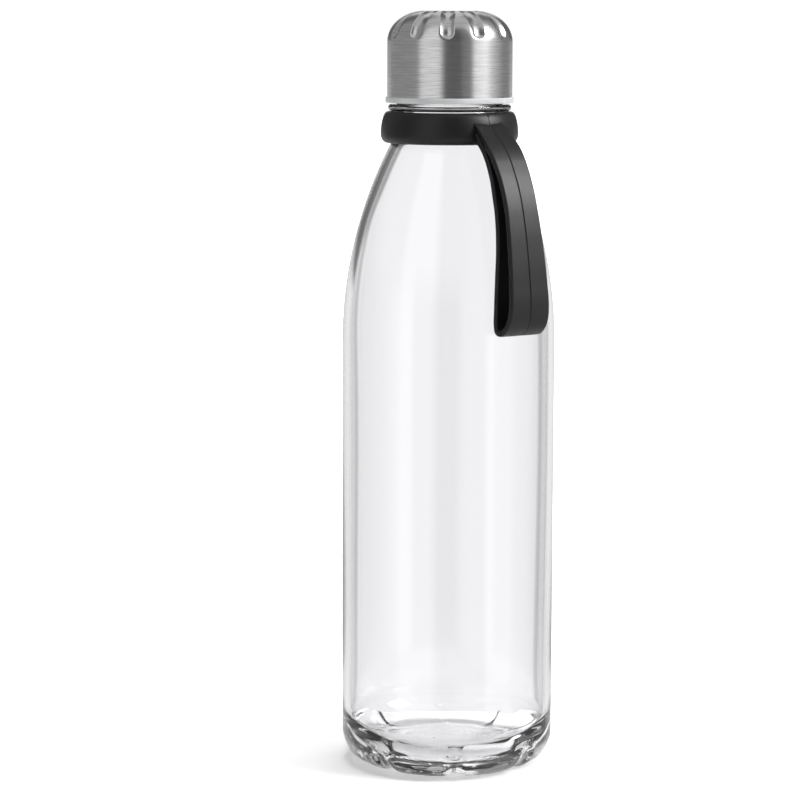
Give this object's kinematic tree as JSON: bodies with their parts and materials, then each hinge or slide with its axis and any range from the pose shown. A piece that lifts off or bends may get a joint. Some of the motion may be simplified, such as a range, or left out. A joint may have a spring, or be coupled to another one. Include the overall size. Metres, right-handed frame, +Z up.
{
  "type": "glass water bottle",
  "caption": "Clear glass water bottle with a fluted steel screw cap and a black silicone carry strap looped from a ring round its neck.",
  "frame": {"origin": "centre of the ring that the bottle stands on, at the table's surface", "axes": "+Z up along the bottle's axis towards the cap, +X towards the hanging strap"},
  "size_m": [0.0817, 0.0712, 0.253],
  "materials": {
    "glass": "clear, fire-polished",
    "brushed_steel": "brushed round the cap",
    "liner_plastic": "natural polypropylene, satin",
    "seal_silicone": "clear silicone, matte",
    "strap_silicone": "black silicone, matte moulded"
  },
  "bodies": {
    "bottle": {"glass_bottle": "glass"},
    "seal": {"cap_seal": "seal_silicone"},
    "cap": {"cap_shell": "brushed_steel", "cap_liner": "liner_plastic"},
    "collar": {"neck_ring": "strap_silicone"},
    "strap": {"carry_strap": "strap_silicone"}
  },
  "joints": [
    {"name": "cap_rise", "type": "slide", "parent": "bottle", "child": "seal", "axis": [0, 0, 1], "range_m": [0, 0.0211]},
    {"name": "cap_turn", "type": "hinge", "parent": "seal", "child": "cap", "pos_m": [0, 0, 0.2305], "axis": [0, 0, 1], "range_deg": [0, 1800]},
    {"name": "collar_turn", "type": "hinge", "parent": "bottle", "child": "collar", "pos_m": [0, 0, 0.2146], "axis": [0, 0, 1], "continuous": true},
    {"name": "strap_swing", "type": "hinge", "parent": "collar", "child": "strap", "pos_m": [0.02565, 0, 0.21096], "axis": [0, -1, 0], "range_deg": [0, 115]}
  ],
  "couplings": [
    {"joint": "cap_rise", "follows": "cap_turn", "m_per_rad": 0.00066845}
  ]
}
